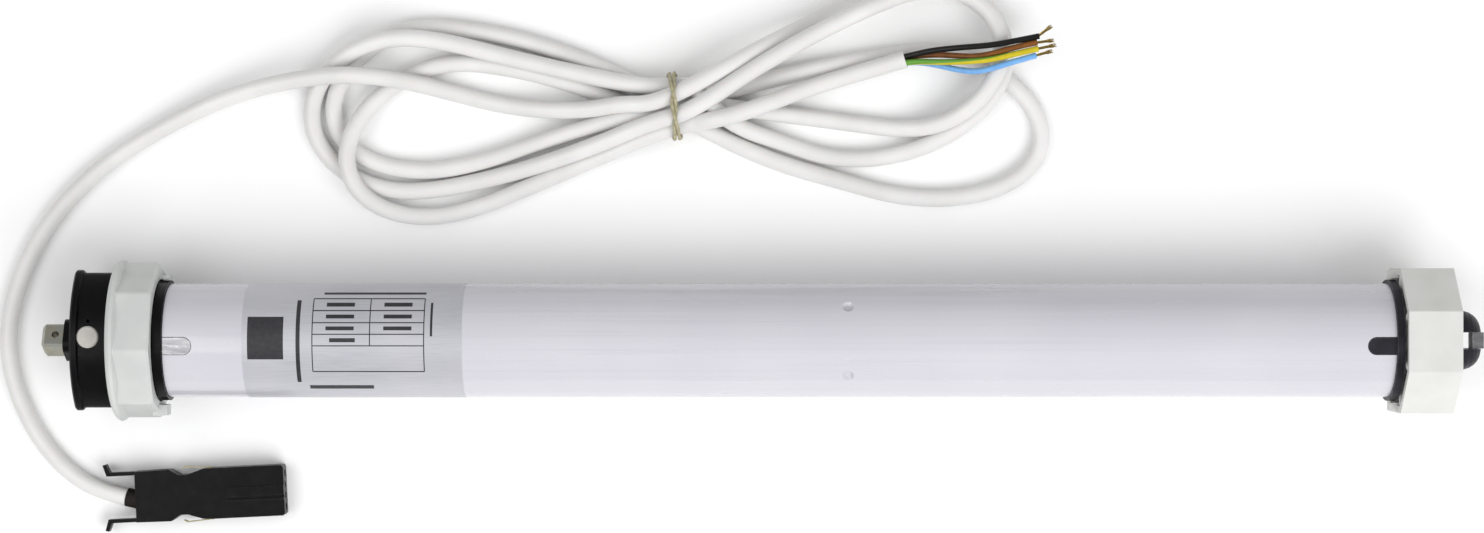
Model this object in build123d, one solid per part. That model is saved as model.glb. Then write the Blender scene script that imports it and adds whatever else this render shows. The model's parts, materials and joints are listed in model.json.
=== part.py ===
"""Tubular roller shutter motor, 45 mm series, lying on its side with its plug-in cable beside it.

Millimetres. +X runs along the motor from the square pin to the drive wheel, +Z is up, and the
surface it lies on is Z = 0, which the crown's flange touches. The motor's axis is at Y = 0.
"""
import math
import os

from build123d import *

# ---- driving dimensions ----
AXIS_Z = 32.0                      # height of the motor's axis, the radius of the crown's flange
TUBE_R, TUBE_BORE_R = 22.5, 21.5
TUBE_X0, TUBE_X1 = -234.15, 246.9
SLOT_WIDTH, SLOT_LENGTH = 7.1, 11.4
DIMPLE_X, DIMPLE_ANGLES, DIMPLE_R = 33.2, (53.0, 127.0), 2.4   # dents that hold the brake housing
SLOT_ANGLE = 94.6                  # degrees from +Y towards +Z
RUN = 0.05                         # radial clearance of a shaft in its bearing
GAP = 0.3                          # clearance between parts that move past each other
FIT_R = 21.4                       # what is pushed into the tube

PIN_SIDE, PIN_TILT, PIN_X0, COLLAR_SIDE = 10.0, 28.0, -284.75, 14.4
PIN_HOLE_R, PIN_HOLE_X = 1.45, -279.45
HEAD_X0, HEAD_X1, HEAD_R, HEAD_TOP = -272.25, -255.6, 26.8, 13.0
NECK_R, NECK_X1 = 22.5, -214.0
PIN_X1 = HEAD_X1 - 1.5
SOCKET_Y, SOCKET_Z0, SOCKET_Z1, SOCKET_X1 = 10.45, -18.6, -7.8, -236.0
BUTTON_X, BUTTON_Y, BUTTON_R = -265.0, 1.5, 4.3

CROWN_X0, CROWN_X1, CROWN_FLANGE_X1 = -255.05, -238.25, -250.75
CROWN_FLANGE_R, CROWN_FLATS, CROWN_TURN = 32.0, 57.5, 7.0
CROWN_GEAR_X0, CROWN_GEAR_X1, CROWN_GEAR_R = -254.9, -248.5, 27.3
CROWN_TEETH, ENCODER_TEETH = 72, 14

WHEEL_X0, WHEEL_X1, WHEEL_FLATS = 250.35, 271.25, 57.1
HUB_R, BAR_X0, BAR_X1, NOSE_X1, CLIP_X1, CLIP_HALF = 11.65, 280.4, 282.25, 283.2, 284.75, 3.2

MODULE, PRESSURE = 0.7, math.radians(20)
ENCODER_R = MODULE * ENCODER_TEETH / 2
ENCODER_Y = MODULE * CROWN_TEETH / 2 - ENCODER_R
ADDENDUM, DEDENDUM, THINNING = 0.8, 1.05, 0.12
SUN_TEETH, PLANET_TEETH, RING_TEETH = 12, 21, 54
ORBIT_R = MODULE * (SUN_TEETH + PLANET_TEETH) / 2
PLANET_ANGLES = (0, 120, 240)
PLANET_PIN_R = 2.5
# each stage: planets' start and end, then the plate that carries them
STAGES = ((182.0, 190.0, 191.0, 194.0), (196.5, 206.5, 207.5, 210.5), (213.0, 227.0, 228.0, 232.0))

CABLE_R, WIRE_R, COPPER_R = 3.5, 1.2, 0.6
PLUG_AT, PLUG_TURN, PLUG_LENGTH, PLUG_WIDTH, PLUG_HEIGHT = (-252.8, -63.8), 2.75, 60.0, 20.4, 9.5
HANK_HEIGHT, WAIST_HEIGHT = 16.0, 21.0
BAND_WIDTH, BAND_THICK = 4.0, 1.2

# the cable's route from the plug to the hank, as X, Y, Z
LEAD_ROUTE = (
    (-256.8, -64.0, 5.0), (-268.5, -61.5, 4.2), (-281.4, -53.8, 3.5), (-294.9, -37.7, 3.5),
    (-305.0, -12.7, 3.5), (-305.0, 12.5, 3.5), (-293.0, 42.5, 3.5), (-272.0, 66.5, 3.5),
    (-245.0, 84.5, 3.5), (-213.0, 99.5, 7.0), (-180.0, 106.0, 12.0),
)
# each conductor from the end of the jacket: black, brown, green and yellow, blue
WIRE_ROUTES = (
    ((58.0, 114.2, 20.1), (84.0, 118.5, 21.8), (110.4, 121.6, 22.0)),
    ((58.0, 114.2, 17.4), (84.0, 116.3, 19.2), (111.0, 119.0, 19.8)),
    ((58.0, 111.6, 20.1), (84.0, 112.8, 21.8), (110.7, 116.8, 22.3)),
    ((58.0, 111.6, 17.4), (85.0, 107.6, 19.2), (109.6, 113.4, 19.8)),
)
BARE_LENGTH = 6.0


# ---- helpers ----
BASE = (Align.CENTER, Align.CENTER, Align.MIN)


def across(x, y=0.0, z=0.0):
    """Plane across the motor: its own x is +Y, its own y is +Z and its normal is +X."""
    return Plane(origin=(x, y, AXIS_Z + z), x_dir=(0, 1, 0), z_dir=(1, 0, 0))


def prism(sketch, x0, x1, y=0.0, z=0.0):
    return extrude(across(x0, y, z) * sketch, amount=x1 - x0)


def rod(x0, x1, r, y=0.0, z=0.0):
    return prism(Circle(r), x0, x1, y, z)


def ring(x0, x1, r_out, r_in, y=0.0, z=0.0):
    return prism(Circle(r_out) - Circle(r_in), x0, x1, y, z)


def block(x0, x1, y0, y1, z0, z1):
    """Box between limits, with z measured from the motor's axis."""
    middle = ((x0 + x1) / 2, (y0 + y1) / 2, AXIS_Z + (z0 + z1) / 2)
    return Pos(*middle) * Box(x1 - x0, y1 - y0, z1 - z0)


def turned(profile):
    """Solid of revolution about the motor's axis from a list of x and radius."""
    plane = Plane(origin=(0, 0, AXIS_Z), x_dir=(1, 0, 0), z_dir=(0, -1, 0))
    face = make_face(plane * Polyline(*profile, close=True))
    return revolve(face, axis=Axis((0, 0, AXIS_Z), (1, 0, 0)))


def spin(shape, degrees):
    return shape.rotate(Axis((0, 0, AXIS_Z), (1, 0, 0)), degrees)


def octagon(flats, turn, corner_r):
    shape = RegularPolygon(flats / 2, 8, major_radius=False, rotation=turn)
    return fillet(shape.vertices(), corner_r)


def involute(angle_cosine_r, r):
    """The involute function at radius r of a gear with this base radius."""
    cosine = min(1.0, angle_cosine_r / r)
    return math.tan(math.acos(cosine)) - math.acos(cosine)


def gear(teeth, addendum, dedendum, thinning, turn=0.0):
    """Outline of involute teeth, the first one at the angle turn, each flank as three short flats."""
    pitch_r = MODULE * teeth / 2
    base_r = pitch_r * math.cos(PRESSURE)
    root_r, tip_r = pitch_r - dedendum * MODULE, pitch_r + addendum * MODULE
    half = math.pi / (2 * teeth) - thinning / (2 * pitch_r) + involute(base_r, pitch_r)
    start_r = max(root_r, base_r)
    flank = [root_r] if root_r < base_r else []
    flank += [start_r + (tip_r - start_r) * step / 3 for step in range(4)]
    points = []
    for tooth in range(teeth):
        middle = math.radians(turn) + 2 * math.pi * tooth / teeth
        rising = [(r, middle - half + involute(base_r, max(r, base_r))) for r in flank]
        falling = [(r, 2 * middle - angle) for r, angle in reversed(rising)]
        points += [(r * math.cos(a), r * math.sin(a)) for r, a in rising + falling]
    return make_face(Polyline(*points, close=True))


def hull_of(*circles):
    """Sketch around circles given as x, y and radius."""
    edges = [Pos(x, y) * Circle(r) for x, y, r in circles]
    return make_hull([edge for circle in edges for edge in circle.edges()])


def tube_along(route, r):
    """Round tube along straight runs, with the largest arcs that its corners leave room for."""
    points = [Vector(*p) for p in route]
    radii = []
    for before, here, after in zip(points, points[1:], points[2:]):
        shorter = min((here - before).length, (after - here).length)
        turn = math.radians((here - before).get_angle(after - here))
        radii.append(0.45 * shorter / math.tan(turn / 2))
    path = FilletPolyline(*points, radius=radii)
    start = Plane(origin=points[0], z_dir=points[1] - points[0])
    tube = sweep(start * Circle(r), path=path)
    section = math.pi * r * r
    print("radii", [round(x) for x in radii], "length", round(path.length, 1),
          "volume over section times length", round(tube.volume / (section * path.length), 4))
    return tube


def spring(x0, x1, r, wire_r, turns, y=0.0):
    """Coil spring along X on the motor's axis."""
    height = x1 - x0 - 2 * wire_r
    path = Helix(pitch=height / turns, height=height, radius=r)
    start = Plane(origin=path @ 0, z_dir=path % 0)
    return across(x0 + wire_r, y) * sweep(start * Circle(wire_r), path=path)


# ---- tube and its label ----
def slot(x0, x1, width, angle, r_in, r_out):
    """Radial slot along X with both ends round, at an angle about the axis."""
    plane = Plane(origin=((x0 + x1) / 2, 0, AXIS_Z + r_in), x_dir=(1, 0, 0), z_dir=(0, 0, 1))
    outline = SlotOverall(x1 - x0, width)
    return spin(extrude(plane * outline, amount=r_out - r_in), angle - 90)


def tube_slot(end, inner, width, r_in, r_out):
    """Slot open at the tube's end: inner is the x of its round end."""
    beyond = end + math.copysign(width, end - inner)
    return slot(min(beyond, inner), max(beyond, inner), width, SLOT_ANGLE, r_in, r_out)


def motor_tube():
    tube = ring(TUBE_X0, TUBE_X1, TUBE_R, TUBE_BORE_R)
    for angle in DIMPLE_ANGLES:
        inward = Plane(origin=(DIMPLE_X, 0, AXIS_Z + 20.7), x_dir=(1, 0, 0), z_dir=(0, 0, 1))
        bump = extrude(inward * Circle(DIMPLE_R), amount=1.2)
        dent = Pos(DIMPLE_X, 0, AXIS_Z + TUBE_BORE_R - 0.2) * Cone(1.2, 3.0, 1.8, align=BASE)
        tube = tube + spin(bump, angle - 90)
        tube = tube - spin(dent, angle - 90)
    tube -= tube_slot(TUBE_X0, TUBE_X0 + SLOT_LENGTH, SLOT_WIDTH, 15, 30)
    tube -= tube_slot(TUBE_X1, TUBE_X1 - SLOT_LENGTH, SLOT_WIDTH, 15, 30)
    return tube


def rating_label():
    skin = ring(-203.0, -117.5, TUBE_R + 0.12, TUBE_R)
    return skin - block(-210, -110, -30, 30, -30, -5)


# ---- head ----
def head_outline(grow=0.0):
    """Round below the axis and a flatter crown above it."""
    below = ThreePointArc((-HEAD_R, 0), (0, -HEAD_R), (HEAD_R, 0))
    above = ThreePointArc((HEAD_R, 0), (0, HEAD_TOP), (-HEAD_R, 0))
    outline = fillet(make_face([below, above]).vertices(), 4.0)
    return offset(outline, grow) if grow else outline


def head_housing():
    head = prism(head_outline(), HEAD_X0 + 0.2, HEAD_X1)
    bead = prism(head_outline(1.1), HEAD_X0, HEAD_X0 + 3.4)
    rims = bead.faces().sort_by(Axis.X)
    bead = chamfer(rims[0].edges() + rims[-1].edges(), 0.7)
    lip = prism(head_outline(0.6), HEAD_X1 - 1.6, HEAD_X1)
    neck = rod(HEAD_X1, TUBE_X0 - 0.15, NECK_R) + rod(TUBE_X0 - 0.15, NECK_X1, FIT_R)
    rounded = fillet(Rectangle(COLLAR_SIDE, COLLAR_SIDE, rotation=-PIN_TILT).vertices(), 4)
    collar = prism(rounded, HEAD_X0 - 3.6, HEAD_X0 + 1)
    head = head + bead + lip + neck + collar
    head -= prism(pin_section(), PIN_X0, PIN_X1)
    head -= block(HEAD_X0 - 6, SOCKET_X1, -SOCKET_Y, SOCKET_Y, SOCKET_Z0, SOCKET_Z1)
    head -= rod(-231.5, NECK_X1 + 1, 19.0)
    head -= rod(CROWN_GEAR_X0 + 0.1, CROWN_GEAR_X1 + 0.3, ENCODER_R + 1.0, ENCODER_Y)
    head -= rod(-257.5, -243.5, 1.2 + RUN, ENCODER_Y)
    head -= Pos(BUTTON_X, BUTTON_Y, AXIS_Z + 7.7) * Cylinder(BUTTON_R + 0.2, 20, align=BASE)
    head -= Pos(BUTTON_X, 7.8, AXIS_Z + 8.5) * Cylinder(0.8, 10, align=BASE)
    head -= tube_slot(TUBE_X0, TUBE_X0 + SLOT_LENGTH - 0.2, SLOT_WIDTH - 0.4, 19.4, 30)
    return head


def pin_section():
    return chamfer(Rectangle(PIN_SIDE, PIN_SIDE, rotation=-PIN_TILT).vertices(), 0.9)


def square_pin():
    pin = prism(pin_section(), PIN_X0, PIN_X1)
    tip = pin.faces().sort_by(Axis.X)[0]
    pin = chamfer(tip.edges(), 1.2)
    hole = Pos(PIN_HOLE_X, 0, AXIS_Z) * Cylinder(PIN_HOLE_R, 4 * PIN_SIDE)
    return pin - spin(hole, -PIN_TILT)


def head_key():
    """Steel key that fills the tube's left slot and stops the head from turning in the tube."""
    key = tube_slot(TUBE_X0, TUBE_X0 + SLOT_LENGTH - 0.25, SLOT_WIDTH - 0.5, 19.4, TUBE_R - 0.1)
    key = key & block(TUBE_X0, TUBE_X0 + 20, -10, 10, 0, 30)
    groove = slot(TUBE_X0 + 1.5, TUBE_X0 + 9.4, 0.5, SLOT_ANGLE, TUBE_R - 0.5, 30)
    return key - groove


def thrust_ring():
    return ring(CROWN_X1 + 0.35, TUBE_X0 - 0.15, 23.75, NECK_R)


def setting_button():
    stem = Pos(BUTTON_X, BUTTON_Y, AXIS_Z + 10.0) * Cylinder(BUTTON_R, 3.7, align=BASE)
    return chamfer(stem.faces().sort_by(Axis.Z)[-1].edges(), 0.5)


def button_spring():
    coil = Pos(BUTTON_X, BUTTON_Y, AXIS_Z)
    rings = [coil * Pos(0, 0, 8.15 + 0.6 * k) * Torus(2.4, 0.3) for k in range(3)]
    post = coil * Pos(0, 0, 7.7) * Cylinder(2.4, 0.5, align=BASE)
    return rings[0] + rings[1] + rings[2] + post


def socket_contacts():
    pins = [rod(SOCKET_X1 - 9, SOCKET_X1, 0.9, y, -13.2) for y in (-6.6, -2.2, 2.2, 6.6)]
    return Compound(children=pins)


# ---- crown that turns with the shutter's roller ----
def crown_ring():
    flange = turned([(CROWN_X0, 22), (CROWN_X0, 30.4), (CROWN_X0 + 0.7, 31.5),
                     (CROWN_X0 + 1.7, CROWN_FLANGE_R), (CROWN_X0 + 2.7, 31.5), (CROWN_X0 + 3.5, 30.0),
                     (CROWN_FLANGE_X1, 28.0), (CROWN_FLANGE_X1, 22)])
    body = prism(octagon(CROWN_FLATS, CROWN_TURN, 2.5), CROWN_X0 + 2, CROWN_X1)
    rim = body.faces().sort_by(Axis.X)[-1]
    body = chamfer(rim.edges(), 1.0)
    lower_lug = block(CROWN_X1 - 2.5, -235.3, -29.6, -25.4, -5, 5)
    upper_lug = block(CROWN_X1 - 2.5, -234.4, 24.3, 25.6, -4, 4)
    crown = flange + body + lower_lug + upper_lug
    crown -= rod(CROWN_X0 - 1, CROWN_GEAR_X1, CROWN_GEAR_R)
    crown -= rod(CROWN_X0 - 1, CROWN_X1 + 1, NECK_R + RUN)
    return crown - rod(CROWN_X1 - 2.4, CROWN_X1 + 1, 24.2)


def crown_gear():
    bore = gear(CROWN_TEETH, DEDENDUM, ADDENDUM, -THINNING)
    return prism(Circle(CROWN_GEAR_R) - bore, CROWN_GEAR_X0, CROWN_GEAR_X1)


def encoder_pinion():
    teeth = prism(gear(ENCODER_TEETH, ADDENDUM, DEDENDUM, THINNING), -254.5, -248.9, ENCODER_Y)
    return teeth + rod(-257.2, -243.8, 1.2, ENCODER_Y)


# ---- electronics ----
def board_carrier():
    shell = ring(-213.0, -112.0, 21.2, 19.8)
    shell -= block(-230, -100, -30, 30, -7, 30)
    ends = [ring(x, x + 2, 21.2, 8) - block(x - 1, x + 3, -30, 30, -6.0, 30) for x in (-213.0, -114.0)]
    return shell + ends[0] + ends[1]


def control_board():
    return block(-211.0, -114.0, -17.5, 17.5, -6.0, -4.4)


def board_parts():
    relays = [block(x, x + 19, -15, 0, -4.4, 10.6) for x in (-185.0, -162.0)]
    chips = [block(x, x + 9, 5, 12, -4.4, -2.6) for x in (-205.0, -190.0, -172.0)]
    reservoir = rod(-150.0, -128.0, 6.0, 7.0, 1.6)
    varistor = Pos(-138.0, -9.0, AXIS_Z - 4.4) * Cylinder(5.5, 9, align=BASE)
    return Compound(children=relays + chips + [reservoir, varistor])


def run_capacitor():
    can = chamfer(rod(-100.0, -32.0, 17.4).edges(), 1.0)
    tabs = [block(-106.0, -99.5, y - 3, y + 3, -0.4, 0.4) for y in (-7, 7)]
    return can + tabs[0] + tabs[1]


def capacitor_holder():
    cup = ring(-70.0, -28.0, 21.3, 17.4)
    return cup + ring(-32.0, -28.0, 21.3, 8.0)


# ---- brake ----
SHAFT_R = 3.0


def brake_housing():
    shell = [(26, SHAFT_R + 3), (26, 21.3), (30.4, 21.3), (30.4, 20.4), (36.0, 20.4), (36.0, 21.3),
             (45.3, 21.3), (45.3, 18.8), (29, 18.8), (29, SHAFT_R + 3)]
    return turned(shell)


def brake_coil():
    return ring(29.0, 38.5, 18.6, 8.2)


def brake_armature():
    return ring(39.2, 41.7, 17.5, 4.5)


def brake_disc():
    return ring(42.0, 45.0, 17.0, SHAFT_R)


def brake_spring():
    return spring(29.0, 39.2, 6.8, 0.6, 4)


# ---- motor ----
STATOR_X0, STATOR_X1, STATOR_BORE_R = 68.0, 146.0, 11.0
SLOTS = 12


def winding_bars():
    bar = block(STATOR_X0 - 1, STATOR_X1 + 1, -1.5, 1.5, 12.6, 17.6)
    return [spin(bar, 360 / SLOTS * k) for k in range(SLOTS)]


def stator_core():
    core = ring(STATOR_X0, STATOR_X1, 21.3, STATOR_BORE_R)
    for bar in winding_bars():
        core -= bar
    return core


def stator_windings():
    coil = ring(60.5, STATOR_X0, 19.4, 12.2) + ring(STATOR_X1, 153.5, 19.4, 12.2)
    for bar in winding_bars():
        coil += bar
    return coil


def rear_bell():
    profile = [(45.3, SHAFT_R + 1), (45.3, 21.3), (68, 21.3), (68, 20), (58, 20), (58, 9.5),
               (52, 9.5), (52, SHAFT_R + 1)]
    return turned(profile)


def front_bell():
    profile = [(168, SHAFT_R + 1), (168, 21.3), (146, 21.3), (146, 20), (156, 20), (156, 9.5),
               (162, 9.5), (162, SHAFT_R + 1)]
    return turned(profile)


def rotor_bearings():
    pair = [ring(x, x + 6, 9.5, SHAFT_R + RUN) for x in (52.0, 156.0)]
    return Compound(children=pair)


def rotor_core():
    return chamfer(rod(STATOR_X0 - 1.5, STATOR_X1 + 1.5, 10.7).edges(), 0.6) - rod(60, 150, SHAFT_R)


def rotor_shaft():
    pinion = prism(gear(SUN_TEETH, ADDENDUM, DEDENDUM, THINNING), 180.0, 189.8)
    return rod(34.0, 180.0, SHAFT_R) + pinion


def rubber_damper():
    return ring(168.0, 172.0, 20.5, 8.0)


# ---- three planetary stages ----
def ring_gear():
    """Gearbox housing with the teeth that all nine planets run in, closed towards the motor."""
    bore = gear(RING_TEETH, DEDENDUM, ADDENDUM, -THINNING)
    wall = prism(Circle(FIT_R) - bore, 176.0, 228.0)
    return wall + ring(172.0, 176.0, FIT_R, 6.0) + ring(228.0, 233.5, FIT_R, 19.7)


def planet(stage, angle):
    x0, x1, _, _ = STAGES[stage]
    theta = math.radians(angle)
    half_tooth = 0.5 - theta * SUN_TEETH / (2 * math.pi)
    turn = math.degrees(theta + math.pi - half_tooth * 2 * math.pi / PLANET_TEETH)
    outline = gear(PLANET_TEETH, ADDENDUM, DEDENDUM, THINNING, turn) - Circle(PLANET_PIN_R + RUN)
    return prism(outline, x0, x1, ORBIT_R * math.cos(theta), ORBIT_R * math.sin(theta))


def carrier(stage):
    x0, _, plate0, plate1 = STAGES[stage]
    whole = rod(plate0, plate1, 16.5)
    for angle in PLANET_ANGLES:
        theta = math.radians(angle)
        whole += rod(x0 - 0.5, plate0, PLANET_PIN_R, ORBIT_R * math.cos(theta), ORBIT_R * math.sin(theta))
    return whole


def carrier_with_sun(stage):
    _, next_x1, _, _ = STAGES[stage + 1]
    plate1 = STAGES[stage][3]
    return carrier(stage) + prism(gear(SUN_TEETH, ADDENDUM, DEDENDUM, THINNING), plate1, next_x1 + 0.3)


SHAFT_OUT_R, SHAFT_OUT_X1 = 7.95, 266.0


def output_shaft():
    flats = block(251, 280, -12, 12, 6.2, 12) + block(251, 280, -12, 12, -12, -6.2)
    return carrier(2) + (rod(STAGES[2][3], SHAFT_OUT_X1, SHAFT_OUT_R) - flats)


def gearbox_flange():
    plug = rod(233.5, TUBE_X1, FIT_R) + rod(TUBE_X1, WHEEL_X0 - GAP, 24.0)
    key = tube_slot(TUBE_X1, TUBE_X1 - SLOT_LENGTH + 0.25, SLOT_WIDTH - 0.5, 20.5, TUBE_R - 0.1)
    plug += key & block(TUBE_X1 - 20, TUBE_X1, -10, 10, 0, 30)
    return plug - rod(230, 255, 10.0)


def output_bush():
    return ring(234.0, 249.8, 10.0, SHAFT_OUT_R + RUN)


def output_hub():
    """Snap nose that carries the wheel: two domed legs with a window between them."""
    nose = turned([(WHEEL_X0 + 0.2, 0), (WHEEL_X0 + 0.2, HUB_R), (277.4, HUB_R), (279.4, HUB_R - 0.6),
                   (281.0, HUB_R - 1.6), (282.2, HUB_R - 2.8), (282.9, HUB_R - 4.0), (NOSE_X1, HUB_R - 5.0),
                   (NOSE_X1, 0)])
    nose -= block(WHEEL_X1, BAR_X0, -3.3, 3.3, -20, 20)
    for z0, z1 in ((3.6, 20), (-20, -3.6)):
        nose -= block(BAR_X0 - 1, NOSE_X1 + 1, -3.3, 3.3, z0, z1)
    nose -= block(BAR_X1, NOSE_X1 + 1, -3.3, 3.3, -4, 4)
    return nose - (rod(200, SHAFT_OUT_X1, SHAFT_OUT_R) & output_shaft())


def drive_wheel():
    outer = prism(octagon(WHEEL_FLATS, 22.5, 0.9), WHEEL_X0, WHEEL_X1)
    pockets = octagon(WHEEL_FLATS - 5.6, 22.5, 0.9) - Circle(HUB_R + 3.0)
    for k in range(4):
        pockets -= Rectangle(70, 2.0, rotation=45 * k + 22.5)
    wheel = outer - prism(pockets, WHEEL_X0, WHEEL_X0 + 8) - prism(pockets, WHEEL_X1 - 9, WHEEL_X1)
    for side in (-1, 1):
        lug = block(WHEEL_X0 - 2.3, WHEEL_X0 + 1, 24.6, 27.9, -4, 4)
        wheel += lug if side > 0 else spin(lug, 180)
    return wheel - rod(200, 300, HUB_R)


def retaining_clip():
    """Steel saddle round the bar at the nose's tip, its two ears lying on the bar's faces."""
    cap = block(BAR_X1, CLIP_X1, -CLIP_HALF, CLIP_HALF, -4.2, 4.2)
    cap -= block(BAR_X1 - 1, CLIP_X1 - 1.0, -4, 4, -1.8, 1.8)
    ears = block(BAR_X0, BAR_X1, -CLIP_HALF, CLIP_HALF, -4.2, 4.2)
    return cap + (ears - block(BAR_X0 - 1, BAR_X1 + 1, -4, 4, -3.6, 3.6))


# ---- plug, in its own frame: x along it from its rear face, z up from the surface ----
ARM_X1, ARM_THICK, ARM_TAIL = 13.0, 1.5, 10.5


def place_plug(shape):
    return Pos(PLUG_AT[0], PLUG_AT[1], 0) * Rot(0, 0, PLUG_TURN) * shape


def plug_box(x0, x1, y0, y1, z0, z1):
    return Pos((x0 + x1) / 2, (y0 + y1) / 2, (z0 + z1) / 2) * Box(x1 - x0, y1 - y0, z1 - z0)


def connector_body():
    half = PLUG_WIDTH / 2
    side = [(0, half), (14, half + 0.2), (17.8, half - 2.2), (21, half - 2.2), (27, half - 0.2),
            (31, half), (PLUG_LENGTH - 0.8, half), (PLUG_LENGTH, half - 0.8)]
    outline = make_face(Polyline(*side, *[(x, -y) for x, y in reversed(side)], close=True))
    body = extrude(outline, amount=PLUG_HEIGHT)
    body += plug_box(37, PLUG_LENGTH, -3.6, 2.0, PLUG_HEIGHT, PLUG_HEIGHT + 0.9)
    body -= plug_box(37, PLUG_LENGTH + 1, -3.0, -1.7, PLUG_HEIGHT - 0.5, PLUG_HEIGHT + 2)
    for y in (-6.6, -2.2, 2.2, 6.6):
        body -= Pos(PLUG_LENGTH - 14, y, 4.6) * Rot(0, 90, 0) * Cylinder(1.5, 20, align=BASE)
    for sign in (-1, 1):
        inner, outer = sorted((sign * (half - 3.4), sign * (half + 1)))
        body -= plug_box(-1, ARM_X1 + 0.4, inner, outer, 2.2, PLUG_HEIGHT - 2.2)
    return place_plug(body - gland_shape(0.0))


def gland_shape(grow):
    """Rubber collar, its axis along the cable's first run."""
    direction = Vector(*LEAD_ROUTE[0]) - Vector(*LEAD_ROUTE[1])
    bent = Plane(origin=LEAD_ROUTE[0], z_dir=direction)
    collar = extrude(bent * Circle(CABLE_R + 0.3 + grow), amount=9.0)
    return Rot(0, 0, -PLUG_TURN) * Pos(-PLUG_AT[0], -PLUG_AT[1], 0) * collar


def cable_gland():
    return place_plug(gland_shape(0.0))


def latch_arm(sign):
    """Spring arm in the plug's side, its outer end bent out as a finger tab."""
    outer = PLUG_WIDTH / 2
    inner = outer - ARM_THICK
    profile = [(ARM_X1, outer), (ARM_X1, inner), (-ARM_TAIL - 1.2, inner), (-ARM_TAIL - 2.6, outer + 3.0),
               (-ARM_TAIL - 1.2, outer + 3.4), (-ARM_TAIL + 0.2, outer)]
    face = make_face(Polyline(*[(x, sign * y) for x, y in profile], close=True))
    arm = extrude(face, amount=PLUG_HEIGHT - 5.0)
    if arm.bounding_box().max.Z < 1:
        arm = arm.mirror(Plane.XY)
    return place_plug(Pos(0, 0, 2.5) * arm)


def leaf_springs():
    leaves = []
    for sign in (-1, 1):
        y = PLUG_WIDTH / 2
        strip = [(31, y), (31, y + 0.35), (20, y + 1.2), (18.4, y + 0.2), (18.7, y), (20.2, y + 0.8)]
        face = make_face(Polyline(*[(a, sign * b) for a, b in strip], close=True))
        leaf = extrude(face, amount=sign * 3.0, dir=(0, 0, sign))
        leaves.append(place_plug(Pos(0, 0, 3.2) * leaf))
    return Compound(children=leaves)


def plug_contacts():
    tubes = []
    for y in (-6.6, -2.2, 2.2, 6.6):
        at = Pos(PLUG_LENGTH - 14, y, 4.6) * Rot(0, 90, 0)
        tubes.append(place_plug(at * (Cylinder(1.5, 12, align=BASE) - Cylinder(1.0, 12, align=BASE))))
    return Compound(children=tubes)


# ---- cable ----
WAIST = (-37.0, 93.4, 13.2)


def hank_outline():
    left = hull_of(WAIST, (-143.5, 87.5, 41.2)) - hull_of((-141, 85, 11), (-95, 88, 4))
    right = hull_of(WAIST, (69, 101, 47.5)) - hull_of((58, 100.5, 11), (20, 97, 4))
    return left + right


def cable_hank():
    """Outer shape of the tied hank, highest where its strands cross, cut to the band's inside there."""
    x, y, r = WAIST
    hank = extrude(hank_outline(), amount=HANK_HEIGHT)
    hank += extrude(hull_of((-64, 92, 10), WAIST, (-6, 93, 11)), amount=WAIST_HEIGHT)
    around = Box(BAND_WIDTH, 4 * r, 2 * WAIST_HEIGHT) - waist_core()
    return hank - Pos(x, y, WAIST_HEIGHT / 2) * around


def waist_core():
    return Box(BAND_WIDTH, 2 * (WAIST[2] - BAND_THICK), WAIST_HEIGHT - 2 * BAND_THICK)


def rubber_band():
    x, y, r = WAIST
    loop = Box(BAND_WIDTH, 2 * r, WAIST_HEIGHT) - waist_core()
    return Pos(x, y, WAIST_HEIGHT / 2) * loop


def cable_lead():
    return tube_along(LEAD_ROUTE, CABLE_R) - cable_hank()


def conductors():
    return Compound(children=[tube_along(route, WIRE_R) for route in WIRE_ROUTES])


def conductor_tips():
    tips = []
    for route in WIRE_ROUTES:
        end, before = Vector(*route[-1]), Vector(*route[-2])
        tips.append(extrude(Plane(origin=end, z_dir=end - before) * Circle(COPPER_R), amount=BARE_LENGTH))
    return Compound(children=tips)


# ---- every node ----
def build():
    nodes = {
        "motor_tube": motor_tube(), "rating_label": rating_label(), "head_housing": head_housing(),
        "square_pin": square_pin(), "head_key": head_key(), "thrust_ring": thrust_ring(),
        "setting_button": setting_button(), "button_spring": button_spring(),
        "socket_contacts": socket_contacts(), "crown_ring": crown_ring(), "crown_gear": crown_gear(),
        "encoder_pinion": encoder_pinion(), "board_carrier": board_carrier(),
        "control_board": control_board(), "board_parts": board_parts(),
        "run_capacitor": run_capacitor(), "capacitor_holder": capacitor_holder(),
        "brake_housing": brake_housing(), "brake_coil": brake_coil(),
        "brake_armature": brake_armature(), "brake_disc": brake_disc(), "brake_spring": brake_spring(),
        "stator_core": stator_core(), "stator_windings": stator_windings(), "rear_bell": rear_bell(),
        "front_bell": front_bell(), "rotor_bearings": rotor_bearings(), "rotor_core": rotor_core(),
        "rotor_shaft": rotor_shaft(), "rubber_damper": rubber_damper(), "ring_gear": ring_gear(),
        "carrier_1": carrier_with_sun(0), "carrier_2": carrier_with_sun(1),
        "output_shaft": output_shaft(), "gearbox_flange": gearbox_flange(),
        "output_bush": output_bush(), "output_hub": output_hub(), "drive_wheel": drive_wheel(),
        "retaining_clip": retaining_clip(), "connector_body": connector_body(),
        "cable_gland": cable_gland(), "latch_arm_upper": latch_arm(1), "latch_arm_lower": latch_arm(-1),
        "leaf_springs": leaf_springs(), "plug_contacts": plug_contacts(), "cable_lead": cable_lead(),
        "cable_hank": cable_hank(), "rubber_band": rubber_band(), "conductors": conductors(),
        "conductor_tips": conductor_tips(),
    }
    for stage in range(3):
        for number, angle in enumerate(PLANET_ANGLES, 1):
            nodes[f"planet_{stage + 1}_{number}"] = planet(stage, angle)
    return nodes


os.makedirs("parts", exist_ok=True)
for name, shape in build().items():
    export_step(shape, f"parts/{name}.step")
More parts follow.
